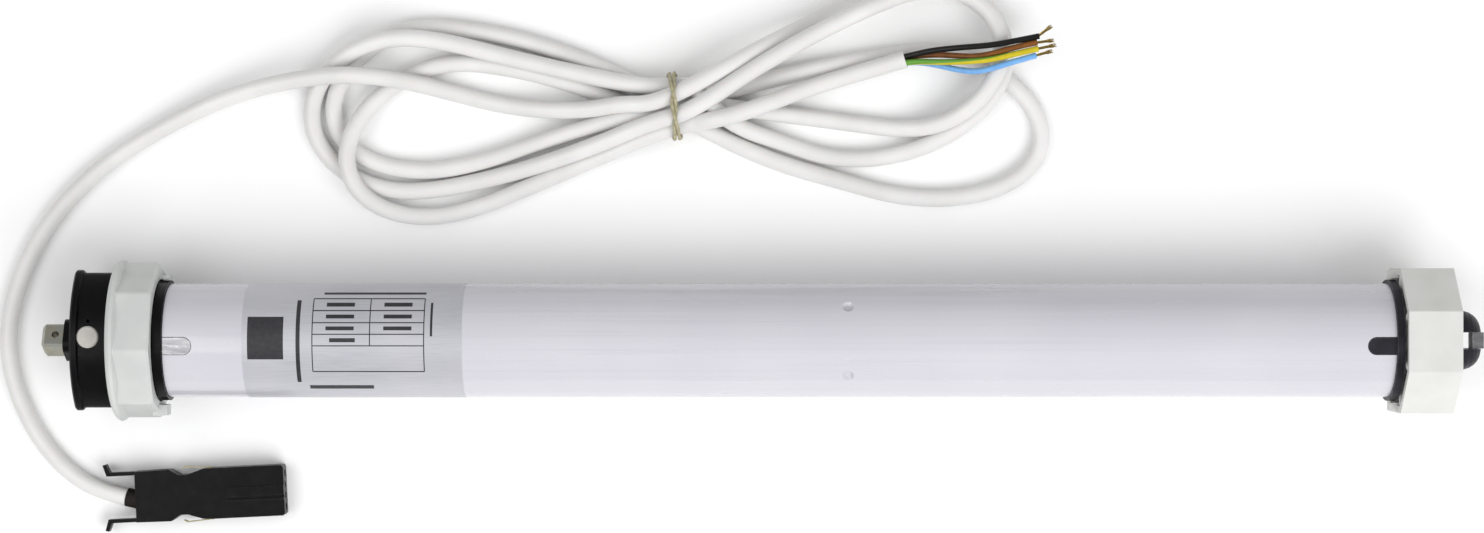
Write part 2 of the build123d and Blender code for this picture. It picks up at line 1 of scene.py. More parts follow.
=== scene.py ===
"""Looks of a tubular roller shutter motor and its plug-in cable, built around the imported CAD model.

Lengths are in millimetres in the model's own frame, and MM turns them into Blender's metres.
"""
import json
import math

import bmesh
import bpy
from mathutils import Matrix, Vector


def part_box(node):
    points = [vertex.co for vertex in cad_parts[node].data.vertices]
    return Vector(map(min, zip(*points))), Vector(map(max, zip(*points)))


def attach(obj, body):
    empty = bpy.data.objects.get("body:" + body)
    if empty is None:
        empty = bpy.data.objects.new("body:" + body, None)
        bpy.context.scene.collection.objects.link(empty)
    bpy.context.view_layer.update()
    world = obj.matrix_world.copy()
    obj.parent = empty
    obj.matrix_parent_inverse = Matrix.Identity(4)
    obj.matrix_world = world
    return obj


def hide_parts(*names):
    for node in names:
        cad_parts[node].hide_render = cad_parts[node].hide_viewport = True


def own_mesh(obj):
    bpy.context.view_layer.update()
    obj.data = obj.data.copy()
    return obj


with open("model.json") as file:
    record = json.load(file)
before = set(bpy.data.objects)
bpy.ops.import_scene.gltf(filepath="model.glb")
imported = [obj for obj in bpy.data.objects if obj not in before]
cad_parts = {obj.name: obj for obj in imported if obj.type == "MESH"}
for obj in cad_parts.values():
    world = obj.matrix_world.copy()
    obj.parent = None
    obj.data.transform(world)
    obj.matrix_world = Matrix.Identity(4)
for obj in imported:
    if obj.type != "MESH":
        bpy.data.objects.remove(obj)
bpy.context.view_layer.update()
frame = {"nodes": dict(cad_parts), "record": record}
NODES = frame["nodes"]
MM = 0.001
AXIS_Z = (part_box("motor_tube")[0].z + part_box("motor_tube")[1].z) / 2 / MM
TUBE_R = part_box("motor_tube")[1].y / MM


# ---- materials ----
# Blender's noise seldom leaves this range, which is stretched to 0 to 1
NOISE_LOW, NOISE_HIGH = 0.32, 0.68
# how far a bevelled normal turns from the face's own, as a cosine, on a face and on a sharp edge
FACE_TURN, EDGE_TURN = 0.98, 0.8
EDGE_WIDTH, EDGE_PATCH = 0.45, 1.5


def tone(red, green, blue):
    """A colour on a screen, 0 to 255, as the linear numbers that a shader takes.

    The numbers here are those of the sRGB curve.
    """
    linear = []
    for c in (red / 255, green / 255, blue / 255):
        linear.append(c / 12.92 if c <= 0.04045 else ((c + 0.055) / 1.055) ** 2.4)
    return (*linear, 1.0)


class Surface:
    """A Principled material whose textures lie in the object's own space, sized in millimetres."""

    def __init__(self, name, **sockets):
        self.material = bpy.data.materials.new(name)
        self.material.use_nodes = True
        self.tree = self.material.node_tree
        self.shader = self.tree.nodes["Principled BSDF"]
        self.place = self.add("ShaderNodeTexCoord").outputs["Object"]
        self.normal = None
        for socket, value in sockets.items():
            self.shader.inputs[socket.replace("_", " ")].default_value = value

    def add(self, kind, inputs=None, **settings):
        """A node of this kind. An input is a plain value or another node's output."""
        node = self.tree.nodes.new(kind)
        for setting, value in settings.items():
            setattr(node, setting, value)
        for socket, value in (inputs or {}).items():
            if isinstance(value, bpy.types.NodeSocket):
                self.tree.links.new(value, node.inputs[socket])
            else:
                node.inputs[socket].default_value = value
        return node

    def link(self, value, socket):
        """Feed this output to a socket of the shader."""
        self.tree.links.new(value, self.shader.inputs[socket])

    def scaled(self, size, stretch=(1, 1, 1)):
        """The object's own space, with size millimetres as its unit, drawn out by stretch."""
        scale = [1 / (MM * size * s) for s in stretch]
        mapping = self.add("ShaderNodeMapping", {"Vector": self.place, "Scale": scale})
        return mapping.outputs["Vector"]

    def noise(self, size, detail=3.0, stretch=(1, 1, 1)):
        """Noise with blobs about size across, drawn out by stretch, from 0 to 1."""
        texture = self.add("ShaderNodeTexNoise",
                           {"Vector": self.scaled(size, stretch), "Scale": 1.0, "Detail": detail})
        return self.remap(texture.outputs["Fac"], NOISE_LOW, NOISE_HIGH, 0.0, 1.0)

    def remap(self, value, low, high, to_low, to_high):
        """The value with low to high carried to to_low to to_high, and held at its ends."""
        node = self.add("ShaderNodeMapRange", {"Value": value, "From Min": low, "From Max": high,
                                               "To Min": to_low, "To Max": to_high})
        return node.outputs["Result"]

    def mixed(self, share, first, second):
        """The first colour where share is 0, the second where it is 1."""
        mix = self.add("ShaderNodeMix", {0: share, 6: first, 7: second}, data_type="RGBA")
        return mix.outputs[2]

    def relief(self, height, depth):
        """Bumps of up to depth millimetres, on top of any that are there."""
        inputs = {"Height": height, "Distance": depth * MM, "Strength": 1.0}
        if self.normal:
            inputs["Normal"] = self.normal
        self.normal = self.add("ShaderNodeBump", inputs).outputs["Normal"]
        self.link(self.normal, "Normal")

    def edges(self, width):
        """1 along sharp edges, 0 on faces."""
        rounded = self.add("ShaderNodeBevel", {"Radius": width * MM}, samples=4).outputs["Normal"]
        facing = self.add("ShaderNodeNewGeometry").outputs["Normal"]
        dot = self.add("ShaderNodeVectorMath", {0: rounded, 1: facing}, operation="DOT_PRODUCT")
        return self.remap(dot.outputs["Value"], FACE_TURN, EDGE_TURN, 0.0, 1.0)


def surface(name, colours, patch, roughness, grain, depth, edge=None, stretch=(1, 1, 1),
            **sockets):
    """Two colours in soft patches, uneven gloss, a fine grain, and worn edges in a third colour."""
    skin = Surface(name, **sockets)
    colour = skin.mixed(skin.noise(patch, 4.0, stretch), tone(*colours[0]), tone(*colours[1]))
    if edge:
        worn = skin.add("ShaderNodeMath", {0: skin.edges(EDGE_WIDTH), 1: skin.noise(EDGE_PATCH)},
                        operation="MULTIPLY")
        colour = skin.mixed(worn.outputs[0], colour, tone(*edge))
    skin.link(colour, "Base Color")
    skin.link(skin.remap(skin.noise(patch * 0.4, 5.0, stretch), 0.0, 1.0, *roughness), "Roughness")
    skin.relief(skin.noise(grain, 2.0, stretch), depth)
    return skin.material


# what each material slot looks like: its two colours and the size of their patches, the range of
# its roughness, the size and depth of its grain, the colour of its worn edges, and plain sockets
METAL, PLASTIC = {"Metallic": 1.0}, {"Specular_IOR_Level": 0.4}
FINISHES = {
    "black_plastic": dict(
        colours=((7, 7, 9), (13, 12, 14)), patch=9, roughness=(0.26, 0.4), grain=0.3, depth=0.006,
        edge=(52, 52, 56), Specular_IOR_Level=0.12),
    "zinc_steel": dict(
        colours=((166, 160, 136), (164, 167, 164)), patch=7, roughness=(0.28, 0.5), grain=0.25,
        depth=0.01, edge=(214, 212, 200), **METAL),
    "spring_steel": dict(
        colours=((168, 168, 170), (140, 140, 144)), patch=3, roughness=(0.18, 0.36), grain=0.15,
        depth=0.005, stretch=(6, 1, 1), edge=(226, 226, 228), **METAL),
    "crown_plastic": dict(
        colours=((203, 205, 203), (193, 196, 194)), patch=14, roughness=(0.34, 0.5), grain=0.35,
        depth=0.012, edge=(228, 231, 227), **PLASTIC),
    "wheel_plastic": dict(
        colours=((214, 214, 211), (205, 205, 201)), patch=14, roughness=(0.34, 0.5), grain=0.35,
        depth=0.012, edge=(240, 240, 236), **PLASTIC),
    "white_plastic": dict(
        colours=((198, 195, 189), (184, 181, 175)), patch=4, roughness=(0.35, 0.5), grain=0.25,
        depth=0.008, edge=(228, 226, 220), **PLASTIC),
    "grey_plastic": dict(
        colours=((30, 30, 34), (42, 42, 49)), patch=6, roughness=(0.34, 0.5), grain=0.3, depth=0.01,
        edge=(120, 121, 130), Specular_IOR_Level=0.2),
    "tinned_copper": dict(
        colours=((196, 196, 190), (170, 166, 156)), patch=2, roughness=(0.2, 0.4), grain=0.12,
        depth=0.004, edge=(206, 150, 110), **METAL),
    "relay_plastic": dict(
        colours=((36, 40, 52), (24, 26, 34)), patch=5, roughness=(0.35, 0.5), grain=0.3, depth=0.01,
        edge=(90, 92, 104), **PLASTIC),
    "capacitor_plastic": dict(
        colours=((214, 214, 206), (202, 200, 190)), patch=9, roughness=(0.3, 0.45), grain=0.4,
        depth=0.01, edge=(232, 232, 226), **PLASTIC),
    "die_cast": dict(
        colours=((172, 174, 178), (140, 142, 148)), patch=4, roughness=(0.4, 0.6), grain=0.6,
        depth=0.04, edge=(212, 214, 218), **METAL),
    "copper_wire": dict(
        colours=((176, 92, 46), (132, 62, 30)), patch=0.8, roughness=(0.25, 0.4), grain=0.7,
        depth=0.12, stretch=(12, 1, 1), **METAL),
    "laminated_steel": dict(
        colours=((136, 140, 148), (92, 96, 104)), patch=0.7, roughness=(0.35, 0.55), grain=0.5,
        depth=0.05, stretch=(0.4, 40, 40), **METAL),
    "gear_steel": dict(
        colours=((168, 170, 176), (140, 142, 148)), patch=3, roughness=(0.2, 0.38), grain=0.2,
        depth=0.006, stretch=(1, 5, 5), edge=(222, 223, 226), **METAL),
    "gear_plastic": dict(
        colours=((226, 221, 204), (214, 207, 188)), patch=5, roughness=(0.3, 0.45), grain=0.25,
        depth=0.008, edge=(240, 236, 224), **PLASTIC),
    "bronze": dict(
        colours=((172, 122, 72), (136, 92, 52)), patch=1.2, roughness=(0.35, 0.55), grain=0.3,
        depth=0.03, edge=(206, 160, 108), **METAL),
    "friction": dict(
        colours=((70, 62, 54), (38, 34, 32)), patch=0.6, roughness=(0.7, 0.9), grain=0.35,
        depth=0.06),
    "soft_rubber": dict(
        colours=((30, 25, 23), (20, 17, 16)), patch=4, roughness=(0.5, 0.7), grain=0.3, depth=0.015,
        edge=(56, 48, 44), Specular_IOR_Level=0.25),
    "cable_jacket": dict(
        colours=((228, 227, 226), (218, 217, 215)), patch=22, roughness=(0.3, 0.46), grain=0.6,
        depth=0.012, Subsurface_Weight=0.08, Subsurface_Scale=0.002),
    # spring steel made darker and olive for the leaf springs: painted shade, not the steel's own
    # colour
    "leaf_spring": dict(
        colours=((150, 142, 100), (120, 118, 96)), patch=1.5, roughness=(0.25, 0.4), grain=0.12,
        depth=0.004, edge=(190, 184, 150), **METAL),
    "band_rubber": dict(
        colours=((186, 180, 150), (150, 144, 114)), patch=2, roughness=(0.5, 0.7), grain=0.3,
        depth=0.03, Subsurface_Weight=0.1, Subsurface_Scale=0.001),
    "bare_copper": dict(
        colours=((188, 168, 92), (150, 118, 62)), patch=0.8, roughness=(0.22, 0.4), grain=0.12,
        depth=0.004, **METAL),
    "wire_black": dict(
        colours=((14, 14, 13), (22, 21, 20)), patch=3, roughness=(0.28, 0.4), grain=0.3,
        depth=0.006, Specular_IOR_Level=0.3),
    "wire_brown": dict(
        colours=((134, 82, 36), (112, 68, 28)), patch=3, roughness=(0.28, 0.4), grain=0.3,
        depth=0.006, Specular_IOR_Level=0.3),
    "wire_blue": dict(
        colours=((110, 164, 222), (124, 178, 230)), patch=3, roughness=(0.28, 0.4), grain=0.3,
        depth=0.006, Specular_IOR_Level=0.3),
    "ink": dict(
        colours=((34, 34, 38), (46, 46, 51)), patch=1.5, roughness=(0.4, 0.5), grain=0.2,
        depth=0.002),
    "floor": dict(
        colours=((250, 250, 250), (248, 248, 248)), patch=120, roughness=(0.6, 0.7), grain=2.0,
        depth=0.01),
}


def tube_paint():
    """Gloss paint on drawn tube: orange peel, long rubbed streaks and fine dust."""
    skin = Surface("tube_paint", Coat_Weight=0.35, Coat_Roughness=0.08, Specular_IOR_Level=0.5)
    colour = skin.mixed(skin.noise(70), tone(203, 202, 209), tone(197, 196, 204))
    streaks = skin.remap(skin.noise(1.2, 2.0, (90, 1, 1)), 0.7, 1.0, 0.0, 0.35)
    colour = skin.mixed(streaks, colour, tone(190, 189, 198))
    dust = skin.remap(skin.noise(0.5, 1.0), 0.96, 1.0, 0.0, 0.25)
    skin.link(skin.mixed(dust, colour, tone(186, 184, 184)), "Base Color")
    skin.link(skin.remap(skin.noise(9, 5.0, (6, 1, 1)), 0.0, 1.0, 0.16, 0.3), "Roughness")
    skin.relief(skin.noise(1.6, 1.0), 0.006)
    return skin.material


def label_film():
    """Silvered film, brushed along the tube."""
    skin = Surface("label_film", Metallic=0.25, Coat_Weight=0.2, Coat_Roughness=0.2)
    colour = skin.mixed(skin.noise(30, 3.0, (1, 2, 2)), tone(186, 186, 192), tone(177, 178, 185))
    brushed = skin.noise(0.25, 2.0, (40, 1, 1))
    lighter = skin.remap(brushed, 0.0, 1.0, 0.0, 0.35)
    skin.link(skin.mixed(lighter, colour, tone(212, 212, 218)), "Base Color")
    skin.link(skin.remap(brushed, 0.0, 1.0, 0.34, 0.5), "Roughness")
    skin.relief(skin.noise(14, 2.0, (1, 3, 3)), 0.03)
    skin.relief(brushed, 0.002)
    return skin.material


def circuit_board():
    """Green solder mask over copper tracks."""
    skin = Surface("circuit_board", Coat_Weight=0.4, Coat_Roughness=0.2)
    tracks = skin.add("ShaderNodeTexBrick",
                      {"Vector": skin.scaled(1.0), "Scale": 1.0, "Mortar Size": 0.28,
                       "Brick Width": 7.0, "Row Height": 1.6})
    raised = tracks.outputs["Fac"]
    mask = skin.mixed(skin.noise(8), tone(22, 84, 48), tone(28, 96, 56))
    skin.link(skin.mixed(raised, mask, tone(70, 140, 84)), "Base Color")
    skin.link(skin.remap(skin.noise(4), 0.0, 1.0, 0.3, 0.45), "Roughness")
    skin.relief(raised, 0.03)
    return skin.material


def wire_green_yellow():
    """Yellow insulation with a green stripe down one side, twisting slowly round it."""
    skin = Surface("wire_green_yellow")
    normal = skin.add("ShaderNodeTexCoord").outputs["Normal"]
    sideways = skin.add("ShaderNodeSeparateXYZ", {0: normal}).outputs["Y"]
    along = skin.add("ShaderNodeSeparateXYZ", {0: skin.place}).outputs["X"]
    # green all round at the first of these places along X, and yellow all round at the last
    first, last = 60 * MM, 110 * MM
    turn = skin.remap(along, first, last, 1.1, -1.0)
    tilt = skin.add("ShaderNodeMath", {0: sideways, 1: turn}, operation="ADD")
    stripe = skin.remap(tilt.outputs[0], 0.1, 0.2, 0.0, 1.0)
    yellow = skin.mixed(skin.noise(3), tone(206, 188, 30), tone(194, 176, 24))
    skin.link(skin.mixed(stripe, yellow, tone(96, 152, 50)), "Base Color")
    skin.link(skin.remap(skin.noise(2), 0.0, 1.0, 0.28, 0.4), "Roughness")
    skin.relief(skin.noise(0.3), 0.006)
    return skin.material


MATERIALS = {slot: surface(slot, **finish) for slot, finish in FINISHES.items()}
MATERIALS.update(tube_paint=tube_paint(), label_film=label_film(), circuit_board=circuit_board(),
                 wire_green_yellow=wire_green_yellow())
# nodes that look different from the rest of their slot: the leaf springs get a darker, olive copy of
# spring steel, which is painted shade
OWN_FINISH_WITH_PAINTED_SHADE = {"leaf_springs": "leaf_spring"}


def paint_nodes():
    """Every node that a piece doesn't replace gets its slot's material."""
    for part in frame["record"]["subparts"]:
        finish = OWN_FINISH_WITH_PAINTED_SHADE.get(part["node"], part["material_slot"])
        if finish in MATERIALS:
            for slot in NODES[part["node"]].material_slots:
                slot.material = MATERIALS[finish]


# ---- camera ----
CAMERA_PLACE, CAMERA_LENS = (-8.25, 29.2, 1332.0), 79.6


def add_camera():
    """A camera that looks straight down."""
    data = bpy.data.cameras.new("camera")
    data.sensor_width = 36.0
    data.lens = CAMERA_LENS
    camera = bpy.data.objects.new("camera", data)
    camera.location = Vector(CAMERA_PLACE) * MM
    bpy.context.scene.collection.objects.link(camera)
    bpy.context.scene.camera = camera


# ---- cable route ----
CABLE_R = 3.5
# from the plug round the head, then up to the first strand of the hank
LEAD_ROUTE = [
    (-256.8, -64.0, 5.0), (-268.5, -61.5, 4.2), (-281.4, -53.8, 3.5), (-294.9, -37.7, 3.5),
    (-305.0, -12.7, 3.5), (-305.0, 12.5, 3.5), (-293.0, 42.5, 3.5), (-272.0, 66.5, 3.5),
    (-245.0, 84.5, 3.5), (-213.0, 99.5, 7.0), (-180.0, 106.0, 12.0),
]
# over the left loops to the tie
ACROSS_LOOPS = [
    (-160, 106, 17.0), (-143, 104, 10.5), (-125, 99.5, 4.0), (-107, 94.8, 3.5), (-88, 92.2, 7.0),
    (-70, 92.3, 10.0), (-58, 94.5, 13.5),
]
# from the tie to the end of the jacket
LAST_STRAND = [
    (-20, 87.8, 17.0), (-6, 91.5, 17.0), (8, 97.2, 11.5), (22, 102.3, 7.5), (36, 106.5, 8.5),
    (48, 109.8, 10.5), (57.5, 112.6, 12.0),
]
TIE_X, TIE_HALF = -37.0, 8.0
# the seven strands in the tie, stacked two, three and two: y, height, and slope of y along x
TIE = {
    "top_rear": (97.6, 16.2, 0.44), "top_front": (89.1, 16.2, 0.25),
    "middle_rear": (102.0, 10.6, 0.13), "middle": (93.4, 10.6, 0.25),
    "middle_front": (84.8, 10.6, 0.29),
    "low_rear": (97.6, 5.0, -0.24), "low_front": (89.1, 5.0, -0.11),
}
LEFT, RIGHT = -1, 1
# loops in the order that the cable runs through them: side, its places in the tie, centre, half
# axes, tilt, first and last angle, sideways bow of the runs to and from the tie, and heights
LOOPS = [
    (RIGHT, "top_rear", "middle_rear", (46.4, 109.1), (54.2, 36.7), 12, 68, -147, (1.3, 4.4),
     (14.5, 3.5, 3.5, 3.5, 7.5, 11.5, 6.0, 3.5, 3.5, 3.5, 6.5, 14.0)),
    (LEFT, "middle_rear", "top_front", (-143.0, 90.4), (40.7, 31.8), -1, 73, 288, (0.9, -2.8),
     (10.0, 9.0, 11.0, 13.0, 8.5, 3.5, 3.5, 3.5, 3.5, 3.5, 4.0, 10.0)),
    (RIGHT, "top_front", "middle", (65.1, 113.1), (32.9, 27.6), 29, 73, -131, (3.6, -0.3),
     (17.0, 17.0, 13.5, 10.0, 12.5, 15.0, 17.0, 15.5, 9.5, 3.5, 3.5, 3.5)),
    (LEFT, "middle", "low_rear", (-125.5, 100.5), (50.4, 31.4), 16, 275, 101, (-1.6, 6.9),
     (8.5, 3.5, 3.5, 3.5, 3.5, 3.5, 3.5, 3.5, 3.5, 3.5, 3.5, 4.0)),
    (RIGHT, "low_rear", "low_front", (57.9, 89.1), (57.3, 32.0), -11, 80, -112, (2.7, 2.9),
     (3.5, 3.5, 3.5, 3.5, 3.5, 3.5, 3.5, 3.5, 3.5, 3.5, 3.5, 4.0)),
    (LEFT, "low_front", "middle_front", (-126.0, 81.3), (44.2, 30.5), 22, 76, 270, (-4.8, 0.0),
     (3.5, 3.5, 3.5, 3.5, 7.5, 11.5, 10.5, 7.0, 3.5, 3.5, 3.5, 3.5)),
]
ARC_POINTS = 8
# shares of the way at which the runs from the tie to the arc, and back to it, have their points
OUT_SHARES, BACK_SHARES = (0.3, 0.65), (0.35, 0.7)


def tie_point(place, side):
    """Where the strand in this place of the tie leaves it on this side."""
    y, height, slope = TIE[place]
    return (TIE_X + side * TIE_HALF, y + side * TIE_HALF * slope, height)


def bowed_run(start, end, bow, shares):
    """Points at these shares of the way, moved sideways along a parabola that bow is the top of."""
    along = Vector(end) - Vector(start)
    sideways = Vector((-along.y, along.x)).normalized() * bow
    return [Vector(start) + along * share + sideways * 4 * share * (1 - share) for share in shares]


def loop_points(side, enter, leave, centre, half_axes, tilt, first, last, bows, heights):
    """One loop of the hank: out of the tie, round part of a tilted ellipse, and back to the tie."""
    start, end = tie_point(enter, side), tie_point(leave, side)
    arc = []
    for step in range(ARC_POINTS):
        angle = math.radians(first + (last - first) * step / (ARC_POINTS - 1))
        spoke = Vector((half_axes[0] * math.cos(angle), half_axes[1] * math.sin(angle)))
        arc.append(Matrix.Rotation(math.radians(tilt), 2) @ spoke + Vector(centre))
    flat = bowed_run(start[:2], arc[0], bows[0], OUT_SHARES) + arc
    flat += bowed_run(arc[-1], end[:2], bows[1], BACK_SHARES)
    return [start] + [(x, y, z) for (x, y), z in zip(flat, heights)] + [end]


def cable_route():
    points = LEAD_ROUTE + ACROSS_LOOPS + [tie_point("top_rear", LEFT)]
    for loop in LOOPS:
        points += loop_points(*loop)
    return points + [tie_point("middle_front", RIGHT)] + LAST_STRAND


def nurbs_curve(name, points, radius):
    """A round cord along a smooth curve that these points, in millimetres, pull into shape."""
    data = bpy.data.curves.new(name, "CURVE")
    data.dimensions = "3D"
    spline = data.splines.new("NURBS")
    spline.points.add(len(points) - 1)
    for point, place in zip(spline.points, points):
        point.co = (place[0] * MM, place[1] * MM, place[2] * MM, 1.0)
    spline.order_u = 3
    spline.use_endpoint_u = True
    data.resolution_u = 10
    data.bevel_depth = radius * MM
    data.bevel_resolution = 6
    data.use_fill_caps = True
    piece = bpy.data.objects.new(name, data)
    bpy.context.scene.collection.objects.link(piece)
    return piece


def add_cable():
    cable = nurbs_curve("mains_cable", cable_route(), CABLE_R)
    cable.data.materials.append(MATERIALS["cable_jacket"])
    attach(cable, "root")
    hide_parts("cable_lead", "cable_hank")


# ---- conductors ----
# colour, its route from inside the jacket, and where its bare end points
WIRES = [
    ("black", [(55.3, 113.1, 12.9), (60.5, 114.3, 13.9), (68, 115.8, 17.0), (78, 116.7, 20.2),
               (91, 117.5, 21.8), (101, 119.3, 22.0), (110.4, 121.2, 21.8)], (5.6, 4.2, 0.6)),
    ("brown", [(55.3, 113.1, 10.6), (61, 114.0, 11.4), (70, 114.3, 14.6), (78, 113.6, 18.0),
               (85, 113.0, 20.6), (93, 114.4, 21.6), (101, 116.9, 21.9), (109.6, 118.7, 21.6)],
     (7.4, 1.0, -0.3)),
    ("green_yellow", [(55.3, 110.9, 12.9), (61, 111.6, 14.2), (70, 111.0, 17.9), (80, 111.0, 20.8),
                      (90, 111.6, 22.3), (98, 113.4, 22.7), (110.0, 116.2, 22.4)],
     (7.8, 1.6, -0.4)),
    ("blue", [(55.3, 110.9, 10.6), (61, 111.7, 11.6), (70, 110.2, 14.4), (78, 108.0, 17.0),
              (86, 107.0, 20.0), (93, 108.8, 21.8), (101, 111.2, 22.0), (109.2, 113.5, 21.4)],
     (7.2, 2.0, 0.2)),
]
WIRE_R = 1.2
# six fine strands wound round a seventh: radius, points along each, turns, distance from the
# middle one, how much more that grows by the tip, and how much shorter each is than the last
STRAND_R, STRANDS, STRAND_STEPS, STRAND_TURNS = 0.18, 7, 12, 0.7
STRAND_APART, STRAND_FRAY, STRAND_SHORTER = 0.36, 0.14, 0.03
STRAND_TUCK = 0.6  # how far inside the insulation they begin


def mesh_piece(name, bm, material):
    """A smooth piece that rides on the root body."""
    mesh = bpy.data.meshes.new(name)
    bmesh.ops.recalc_face_normals(bm, faces=bm.faces)
    bm.to_mesh(mesh)
    bm.free()
    for face in mesh.polygons:
        face.use_smooth = True
    piece = bpy.data.objects.new(name, mesh)
    piece.data.materials.append(MATERIALS[material])
    bpy.context.scene.collection.objects.link(piece)
    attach(piece, "root")
    return piece


def add_tube(bm, centres, radius, sides, closed=False):
    """A tube through these centres, in millimetres, its rings square to the way it runs."""
    rings, count = [], len(centres)
    side = None
    for k, centre in enumerate(centres):
        if closed:
            along = centres[(k + 1) % count] - centres[k - 1]
        else:
            along = centres[min(k + 1, count - 1)] - centres[max(k - 1, 0)]
        along.normalize()
        side = side or along.orthogonal()
        side = (side - along * side.dot(along)).normalized()
        other = along.cross(side)
        ring = []
        for n in range(sides):
            turn = 2 * math.pi * n / sides
            spoke = (side * math.cos(turn) + other * math.sin(turn)) * radius
            ring.append(bm.verts.new((centre + spoke) * MM))
        rings.append(ring)
    for k in range(count if closed else count - 1):
        first, second = rings[k], rings[(k + 1) % count]
        if closed and k == count - 1:
            # the last ring may have turned against the first, so they join at the nearest corner
            gaps = [(first[0].co - vert.co).length for vert in second]
            nearest = gaps.index(min(gaps))
            second = second[nearest:] + second[:nearest]
        for n in range(sides):
            m = (n + 1) % sides
            bm.faces.new((first[n], first[m], second[m], second[n]))
    if not closed:
        bm.faces.new(rings[0])
        bm.faces.new(rings[-1])


def strand_paths(start, lean):
    """Fine strands of a stripped end, twisted together and fraying a little at the tip."""
    along = Vector(lean)
    side = along.orthogonal().normalized()
    other = along.normalized().cross(side)
    for n in range(STRANDS):
        path = []
        for step in range(STRAND_STEPS + 1):
            share = step / STRAND_STEPS
            turn = 2 * math.pi * (n / (STRANDS - 1) + STRAND_TURNS * share)
            spread = STRAND_APART + STRAND_FRAY * share ** 2 * (1 + n % 3)
            if n == STRANDS - 1:
                spread = 0.0
            path.append(Vector(start) + along * share * (1 - STRAND_SHORTER * (n % 4))
                        + (side * math.cos(turn) + other * math.sin(turn)) * spread)
        yield path


def add_conductors():
    """Four insulated wires out of the jacket's open end, with their bare ends."""
    for colour, route, lean in WIRES:
        wire = nurbs_curve("conductor_" + colour, route, WIRE_R)
        wire.data.materials.append(MATERIALS["wire_" + colour])
        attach(wire, "root")
        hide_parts("conductors")
        bm = bmesh.new()
        direction = (Vector(route[-1]) - Vector(route[-2])).normalized()
        for path in strand_paths(Vector(route[-1]) - direction * STRAND_TUCK, lean):
            add_tube(bm, path, STRAND_R, sides=6)
        strands = mesh_piece("strands_" + colour, bm, "bare_copper")
        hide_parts("conductor_tips")
        length = sum((Vector(b) - Vector(a)).length for a, b in zip(route, route[1:]))


# ---- rubber band round the hank ----
BAND_R = 0.72
BAND_GAP, BAND_FLOOR_GAP = 0.1, 0.05  # between the band and the hank, and under it
BAND_ASIDE = 1.6  # from the middle of the tie, along x
BAND_SLANT = 0.09  # x gained for each millimetre towards the motor
BAND_TURNS, BAND_TWIST_SPAN = 1.3, 25  # turns in this many millimetres of y, over the top
BAND_TWIST_LOW, BAND_TWIST_RISE = 9.0, 6.0  # where the twist begins, and how much higher it is full
BAND_APART_ABOVE, BAND_APART_BELOW = BAND_R * 1.02, 1.5  # from the middle of the two strands
OUTLINE_STEPS, OUTLINE_SPACING = 96, 0.7


def bundle_outline(grow):
    """The middle of the seven strands in the tie, and the way round them, grow off the jackets."""
    centres = [Vector((y + BAND_ASIDE * slope, z)) for y, z, slope in TIE.values()]
    middle = sum(centres, Vector((0, 0))) / len(centres)
    reach = CABLE_R + grow
    outline = []
    for step in range(OUTLINE_STEPS):
        angle = 2 * math.pi * step / OUTLINE_STEPS
        normal = Vector((math.cos(angle), math.sin(angle)))
        outline.append(max(centres, key=lambda c: c.dot(normal)) + normal * reach)
    # points along the straight stretches as well, evenly spaced
    loop = []
    for start, end in zip(outline, outline[1:] + outline[:1]):
        pieces = max(1, round((end - start).length / OUTLINE_SPACING))
        loop += [start.lerp(end, n / pieces) for n in range(pieces)]
    return middle, loop


def add_band():
    """Two strands twisted over the top of the hank and lying apart below it."""
    middle, loop = bundle_outline(BAND_R + BAND_GAP)
    bm = bmesh.new()
    for phase in (0.0, math.pi):
        path = []
        for y, z in loop:
            out = (Vector((y, z)) - middle).normalized()
            over = max(0.0, min(1.0, (z - BAND_TWIST_LOW) / BAND_TWIST_RISE))
            turn = phase
            if z > middle.y:
                turn += BAND_TURNS * 2 * math.pi * (y - middle.x) / BAND_TWIST_SPAN
            twist_x = BAND_APART_ABOVE * math.cos(turn)
            twist_out = BAND_APART_ABOVE * math.sin(turn)
            split = BAND_APART_BELOW if phase else -BAND_APART_BELOW
            x = TIE_X + BAND_ASIDE + over * twist_x + (1 - over) * split
            x += BAND_SLANT * (middle.x - y)
            away = over * (twist_out + BAND_APART_ABOVE) + (1 - over) * BAND_GAP
            lowest = BAND_R + BAND_FLOOR_GAP
            path.append(Vector((x, y + out.x * away, max(lowest, z + out.y * away))))
        add_tube(bm, path, BAND_R, sides=10, closed=True)
    band = mesh_piece("band", bm, "band_rubber")
    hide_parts("rubber_band")


# ---- coil springs ----
# name, node, start and run of the coil's middle, coil and wire radius, turns, joint, and the share
# of its length that is left at the joint's limit
SPRINGS = [
    ("button_coil", "button_spring", (-265.0, 1.5, 40.0), (0, 0, 1.3), 2.4, 0.28, 2.2,
     "button_press", 0.36),
    ("brake_coil_spring", "brake_spring", (29.6, 0, AXIS_Z), (9.0, 0, 0), 6.8, 0.6, 4,
     "armature_slide", 0.955),
]
STEPS_A_TURN = 28


def add_springs():
    for name, node, start, run, radius, wire_r, turns, joint, keep in SPRINGS:
        along = Vector(run)
        side = along.orthogonal().normalized()
        other = along.normalized().cross(side)
        count = round(turns * STEPS_A_TURN)
        path = []
        for n in range(count + 1):
            turn = 2 * math.pi * turns * n / count
            path.append(Vector(start) + along * n / count
                        + (side * math.cos(turn) + other * math.sin(turn)) * radius)
        bm = bmesh.new()
        add_tube(bm, path, wire_r, sides=10)
        spring = mesh_piece(name, bm, "spring_steel")
        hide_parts(node)
        foot = Vector(start) - along.normalized() * wire_r
        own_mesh(spring)


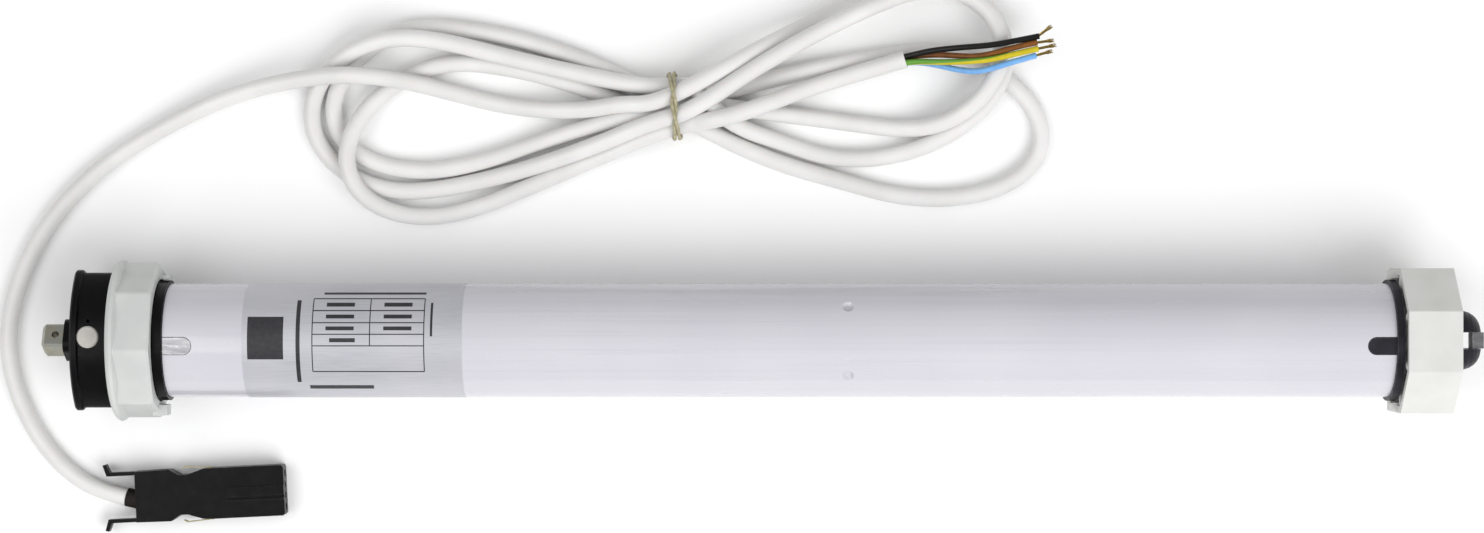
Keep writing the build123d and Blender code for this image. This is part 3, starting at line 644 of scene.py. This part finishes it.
# ---- print on the label: a blank table, plain bars and a plain square ----
PRINT_R = TUBE_R + 0.14
PRINT_STEP = 0.05  # radians round the tube
RULE, BAR = 0.2, 0.75  # half the thickness of the table's lines, and of the bars in its cells
BAR_LENGTH = 11.0
TABLE_LEFT, TABLE_RIGHT, TABLE_SPLIT = -175.7, -132.2, -153.3
TABLE_ROWS = (16.6, 12.0, 7.3, 2.8, -1.7, -11.8)
# each patch: x from and to, then y from and to as seen from above
PRINT = [(x - RULE, x + RULE, TABLE_ROWS[-1], TABLE_ROWS[0]) for x in (TABLE_LEFT, TABLE_RIGHT)]
PRINT += [(TABLE_SPLIT - RULE, TABLE_SPLIT + RULE, TABLE_ROWS[-2], TABLE_ROWS[0])]
PRINT += [(TABLE_LEFT, TABLE_RIGHT, y - RULE, y + RULE) for y in TABLE_ROWS]
PRINT += [(x, x + BAR_LENGTH, y - BAR, y + BAR)
          for x in (-170.5, -148.0) for y in (14.3, 9.7, 5.1)]
PRINT += [
    (-169.0, -159.0, -0.3, 1.3),  # bar in the fourth row
    (-172.0, -132.0, 18.2, 19.0),  # bar above the table
    (-201.0, -187.0, -7.0, 9.6),  # square
    (-182.1, -180.5, -16.0, 16.0),  # upright bar beside the square
    (-177.5, -152.5, -18.7, -17.3),  # bar below the table
    (-129.8, -128.9, 2.0, 15.0),  # upright bar right of the table
]


def add_print():
    """Thin patches that follow the tube, just above the film."""
    bm = bmesh.new()
    for x0, x1, y0, y1 in PRINT:
        first, last = math.asin(y0 / PRINT_R), math.asin(y1 / PRINT_R)
        steps = max(1, round((last - first) / PRINT_STEP))
        rows = []
        for k in range(steps + 1):
            angle = first + (last - first) * k / steps
            y, z = PRINT_R * math.sin(angle), AXIS_Z + PRINT_R * math.cos(angle)
            rows.append([bm.verts.new((x * MM, y * MM, z * MM)) for x in (x0, x1)])
        for low, high in zip(rows, rows[1:]):
            bm.faces.new((low[0], low[1], high[1], high[0]))
    table = mesh_piece("label_table", bm, "ink")


# ---- floor and light: metres from here on ----
FLOOR_HALF, FLOOR_Z = 3.0, -0.0002
# name, place, target, size, power, and whether it shows in reflections
LIGHTS = [
    ("key", (0.7, -0.85, 1.4), (0.05, 0.05, 0), (1.8, 1.2), 24.0, False),
    ("fill", (-0.9, -0.1, 1.6), (0, 0.05, 0), (1.4, 1.0), 9.0, True),
]
WORLD_STRENGTH = 0.5


def add_floor():
    bm = bmesh.new()
    bmesh.ops.create_grid(bm, x_segments=12, y_segments=12, size=FLOOR_HALF)
    mesh = bpy.data.meshes.new("floor")
    bm.to_mesh(mesh)
    bm.free()
    floor = bpy.data.objects.new("floor", mesh)
    floor.data.materials.append(MATERIALS["floor"])
    floor.location.z = FLOOR_Z
    bpy.context.scene.collection.objects.link(floor)


def add_light(name, place, target, size, power, glossy):
    data = bpy.data.lights.new(name, "AREA")
    data.shape = "RECTANGLE"
    data.size, data.size_y = size
    data.energy = power
    light = bpy.data.objects.new(name, data)
    light.location = place
    light.visible_glossy = glossy
    light.rotation_euler = (Vector(target) - Vector(place)).to_track_quat("-Z", "Y").to_euler()
    bpy.context.scene.collection.objects.link(light)


def add_world():
    world = bpy.data.worlds.new("studio")
    world.use_nodes = True
    background = world.node_tree.nodes["Background"]
    background.inputs["Color"].default_value = (1.0, 1.0, 1.0, 1.0)
    background.inputs["Strength"].default_value = WORLD_STRENGTH
    bpy.context.scene.world = world


paint_nodes()
add_camera()
add_cable()
add_conductors()
add_band()
add_springs()
add_print()
add_floor()
add_world()
for light_row in LIGHTS:
    add_light(*light_row)
bpy.context.scene.view_settings.view_transform = "Standard"
